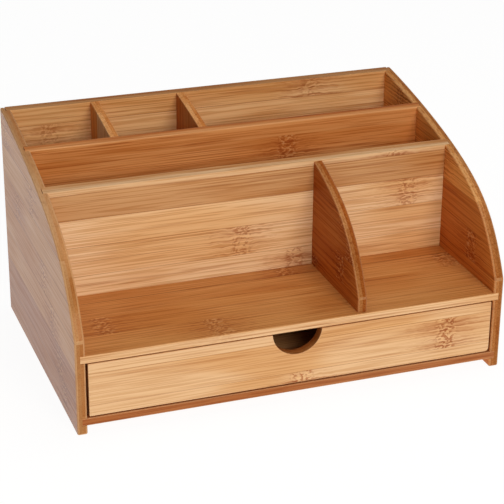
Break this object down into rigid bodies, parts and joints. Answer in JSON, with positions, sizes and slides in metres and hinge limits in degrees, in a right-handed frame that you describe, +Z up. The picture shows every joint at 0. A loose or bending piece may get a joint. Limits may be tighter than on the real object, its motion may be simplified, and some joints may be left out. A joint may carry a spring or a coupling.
{
  "type": "desk organizer",
  "caption": "Bamboo desk organizer with curved sides, open front trays, a letter slot, a rear row of compartments and a drawer with a finger notch.",
  "frame": {"origin": "middle of the footprint, on the surface the organizer stands on", "axes": "+Z up, +X to the right across the width, -Y towards the front, where the drawer opens"},
  "size_m": [0.33, 0.22, 0.172],
  "materials": {
    "bamboo_light": "satin",
    "bamboo_honey": "satin",
    "bamboo_amber": "satin",
    "steel_brad": "satin"
  },
  "bodies": {
    "carcass": {"left_side_panel": "bamboo_honey", "right_side_panel": "bamboo_honey", "back_panel": "bamboo_honey", "shelf": "bamboo_amber", "bottom_board": "bamboo_amber", "rear_divider": "bamboo_amber", "front_divider": "bamboo_honey", "tray_divider": "bamboo_amber", "small_divider_left": "bamboo_honey", "small_divider_right": "bamboo_honey"},
    "drawer": {"drawer_front": "bamboo_light", "drawer_left_side": "bamboo_light", "drawer_right_side": "bamboo_light", "drawer_back": "bamboo_light", "drawer_bottom": "bamboo_light", "drawer_brads": "steel_brad"}
  },
  "joints": [
    {"name": "drawer_slide", "type": "slide", "parent": "carcass", "child": "drawer", "axis": [0, -1, 0], "range_m": [0, 0.15]}
  ]
}
